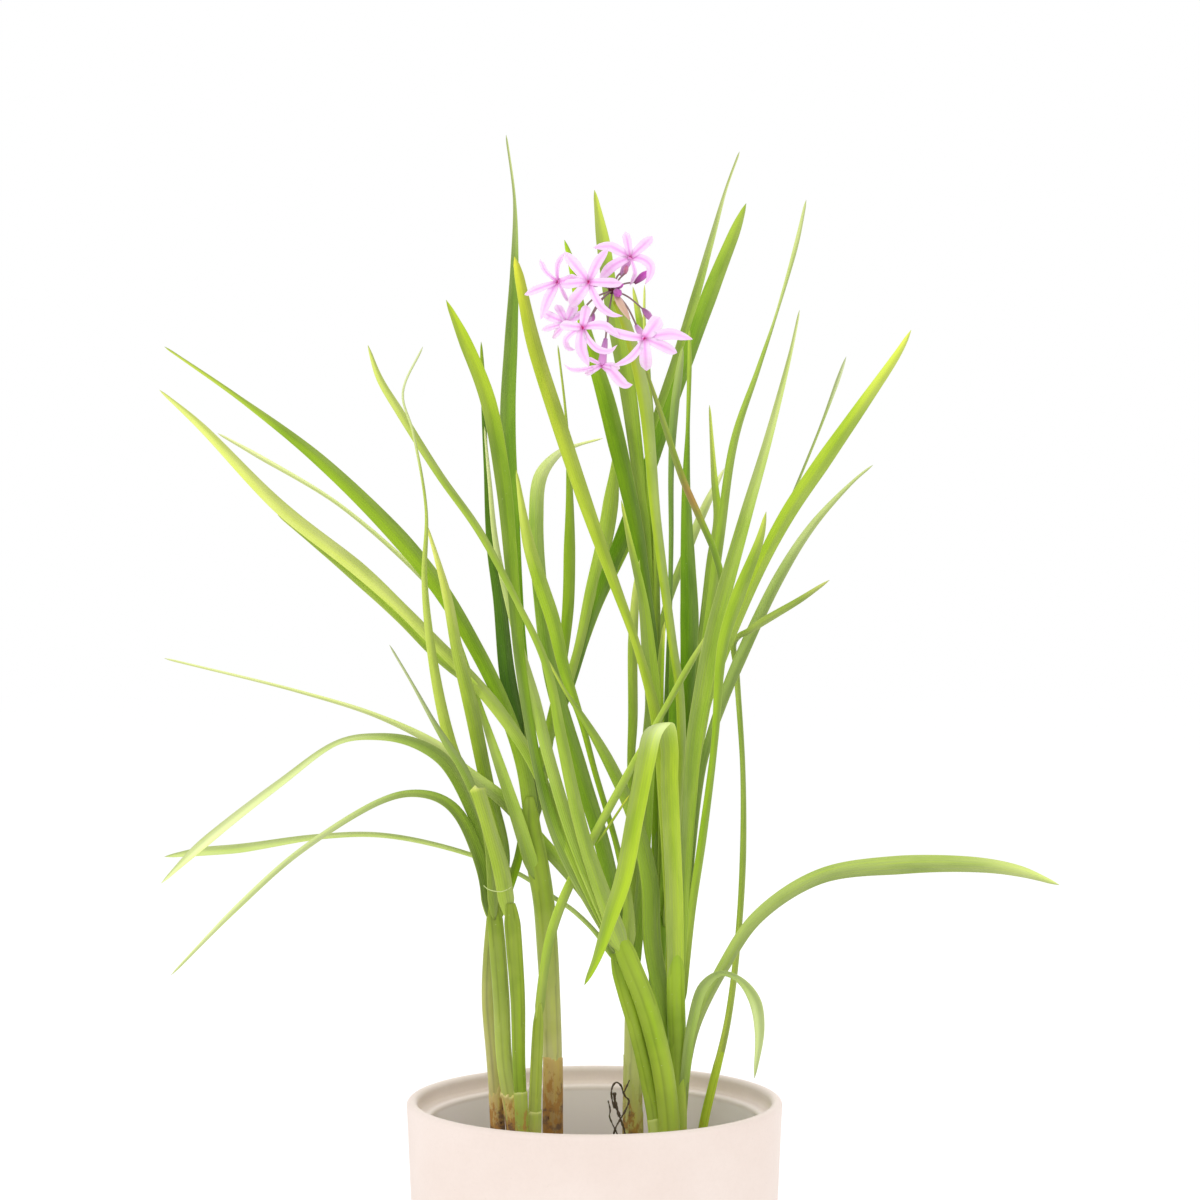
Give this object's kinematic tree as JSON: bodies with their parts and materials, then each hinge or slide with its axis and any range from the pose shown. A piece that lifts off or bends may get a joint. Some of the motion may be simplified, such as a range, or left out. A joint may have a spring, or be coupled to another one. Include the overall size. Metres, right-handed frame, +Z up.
{
  "type": "potted society garlic",
  "caption": "Round pot of soil with a clump of long strap-leaved stems and one flower stem carrying an umbel of star-shaped florets.",
  "frame": {"origin": "middle of the pot's underside", "axes": "+Z up, -Y towards the front from which the plant was pictured, +X to the right"},
  "size_m": [0.2739, 0.1505, 0.4068],
  "materials": {
    "pot": "matte warm off-white glaze",
    "soil": "damp crumbly potting soil",
    "leaf": "smooth, slightly waxy leaf",
    "petal": "soft pale lilac petal",
    "stalk": "smooth green stalk"
  },
  "bodies": {
    "root": {"pot": "pot", "potting_soil": "soil", "leafy_stem_left_back": "leaf", "leafy_stem_left_middle": "leaf", "leafy_stem_left_front": "leaf", "leafy_stem_slim": "leaf", "leafy_stem_brown_base": "leaf", "leafy_stem_pale": "leaf", "leafy_stem_leaning": "leaf", "leafy_stem_upright": "leaf", "leafy_stem_right_back": "leaf", "leafy_stem_far_right": "leaf", "flower_head": "petal", "flower_stem": "stalk"}
  },
  "joints": []
}
